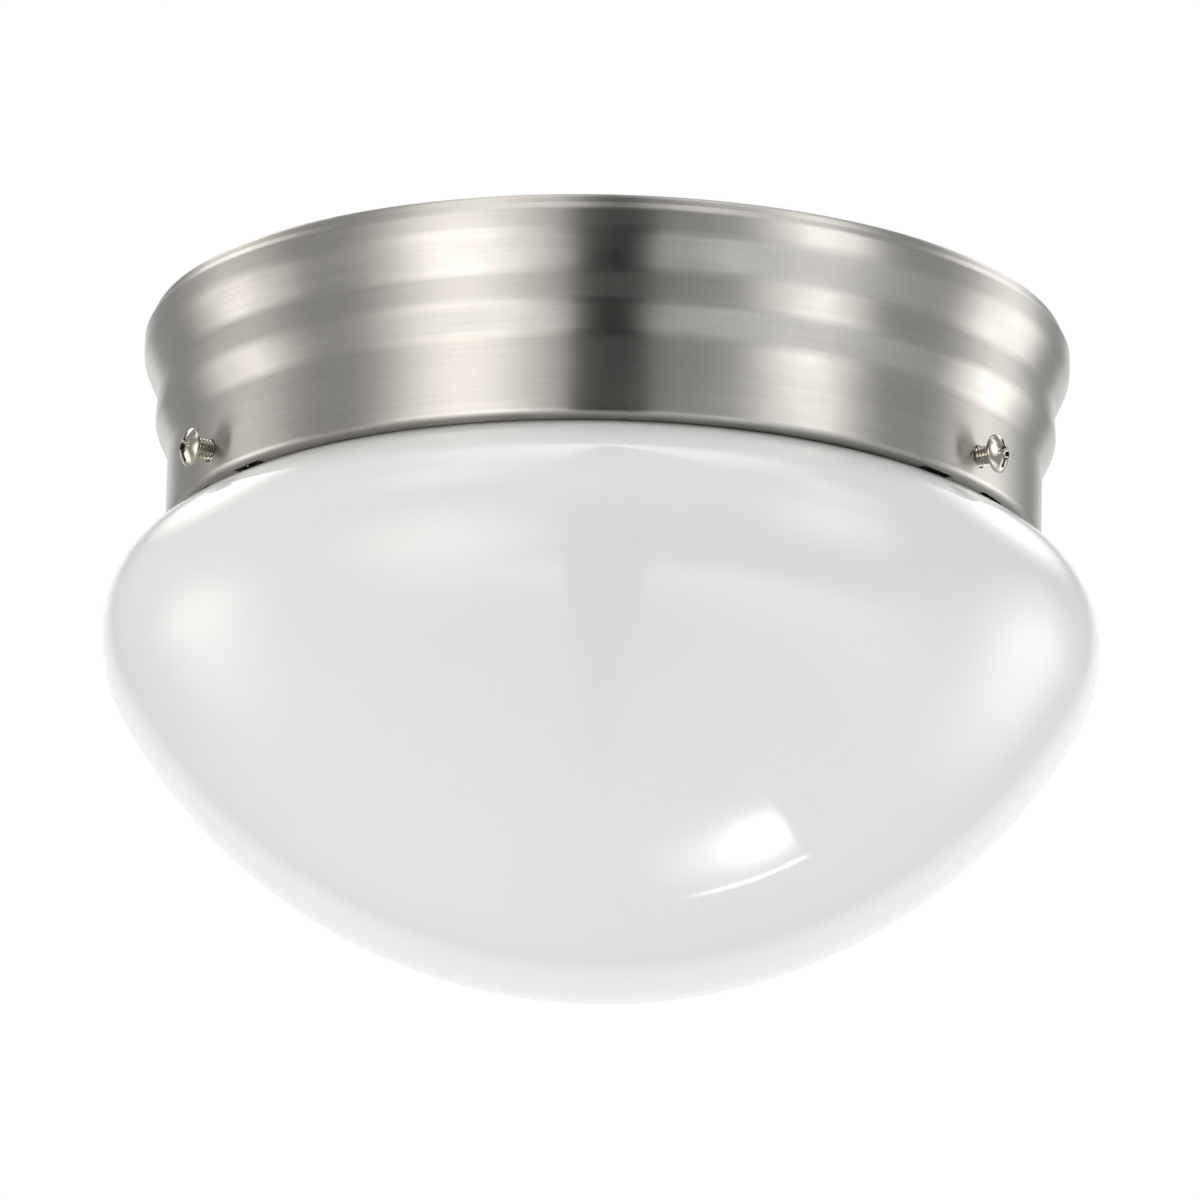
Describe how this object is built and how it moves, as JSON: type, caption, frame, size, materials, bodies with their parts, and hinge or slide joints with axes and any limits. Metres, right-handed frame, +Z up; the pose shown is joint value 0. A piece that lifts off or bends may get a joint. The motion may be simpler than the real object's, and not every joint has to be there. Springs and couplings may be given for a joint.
{
  "type": "flush mount ceiling light",
  "caption": "Round flush mount ceiling light: a drawn metal pan with soft beads holds a mushroom opal glass by side screws over a screw-base bulb.",
  "frame": {"origin": "centre of the strap's two outlet box slots, on the ceiling plane", "axes": "+Z up into the ceiling, the light hangs down to -Z; +X along the mounting strap; -Y is the front, the side that the picture shows"},
  "size_m": [0.2034, 0.2034, 0.1417],
  "materials": {
    "brushed_nickel": "brushed round the axis, satin nickel",
    "opal_glass": "opal, fire polished",
    "nickel_plate": "bright nickel plate",
    "foil": "crinkled foil",
    "fibre_pad": "pressed fibre",
    "zinc_steel": "zinc plate",
    "green_screw": "green dyed zinc",
    "black_nylon": "moulded",
    "rivet_aluminium": "as drawn",
    "porcelain": "glazed porcelain",
    "shell_aluminium": "bright drawn",
    "brass_strip": "bright",
    "black_glass": "glass insulator",
    "solder": "solder",
    "white_plastic": "moulded",
    "diffuser_plastic": "satin diffuser",
    "board_aluminium": "white solder mask",
    "led_phosphor": "phosphor",
    "fibreglass_board": "solder mask"
  },
  "bodies": {
    "fixture": {"pan": "brushed_nickel", "insulation_foil": "foil", "insulation_pad": "fibre_pad", "mounting_strap": "zinc_steel", "fixture_screws": "zinc_steel", "ground_screw": "green_screw", "wire_bushing": "black_nylon", "lampholder_bracket": "zinc_steel", "bracket_rivets": "rivet_aluminium", "lampholder_body": "porcelain", "lampholder_shell": "shell_aluminium", "lampholder_contact": "brass_strip", "lampholder_screws": "zinc_steel", "hot_terminal_plate": "brass_strip", "hot_terminal_screw": "brass_strip", "neutral_terminal_plate": "shell_aluminium", "neutral_terminal_screw": "nickel_plate"},
    "shade": {"shade_glass": "opal_glass"},
    "screw_1": {"shade_screw_1": "nickel_plate"},
    "screw_2": {"shade_screw_2": "nickel_plate"},
    "screw_3": {"shade_screw_3": "nickel_plate"},
    "bulb": {"bulb_base_shell": "shell_aluminium", "bulb_base_insulator": "black_glass", "bulb_base_contact": "solder", "bulb_housing": "white_plastic", "bulb_diffuser": "diffuser_plastic", "bulb_led_board": "board_aluminium", "bulb_led_chips": "led_phosphor", "bulb_driver_board": "fibreglass_board"}
  },
  "joints": [
    {"name": "shade_drop", "type": "slide", "parent": "fixture", "child": "shade", "axis": [0, 0, -1], "range_m": [0, 0.021]},
    {"name": "screw_1_slide", "type": "slide", "parent": "fixture", "child": "screw_1", "axis": [0.0497, 0.9988, 0], "range_m": [0, 0.0066]},
    {"name": "screw_2_slide", "type": "slide", "parent": "fixture", "child": "screw_2", "axis": [-0.8898, -0.4563, 0], "range_m": [0, 0.0066]},
    {"name": "screw_3_slide", "type": "slide", "parent": "fixture", "child": "screw_3", "axis": [0.8401, -0.5424, 0], "range_m": [0, 0.0066]},
    {"name": "bulb_turn", "type": "hinge", "parent": "fixture", "child": "bulb", "pos_m": [0, 0, -0.0362], "axis": [0, 0, -1], "range_deg": [0, 1440]}
  ],
  "couplings": [
    {"joint": "screw_1_slide", "follows": "shade_drop", "ratio": 0.31},
    {"joint": "screw_2_slide", "follows": "shade_drop", "ratio": 0.31},
    {"joint": "screw_3_slide", "follows": "shade_drop", "ratio": 0.31}
  ]
}
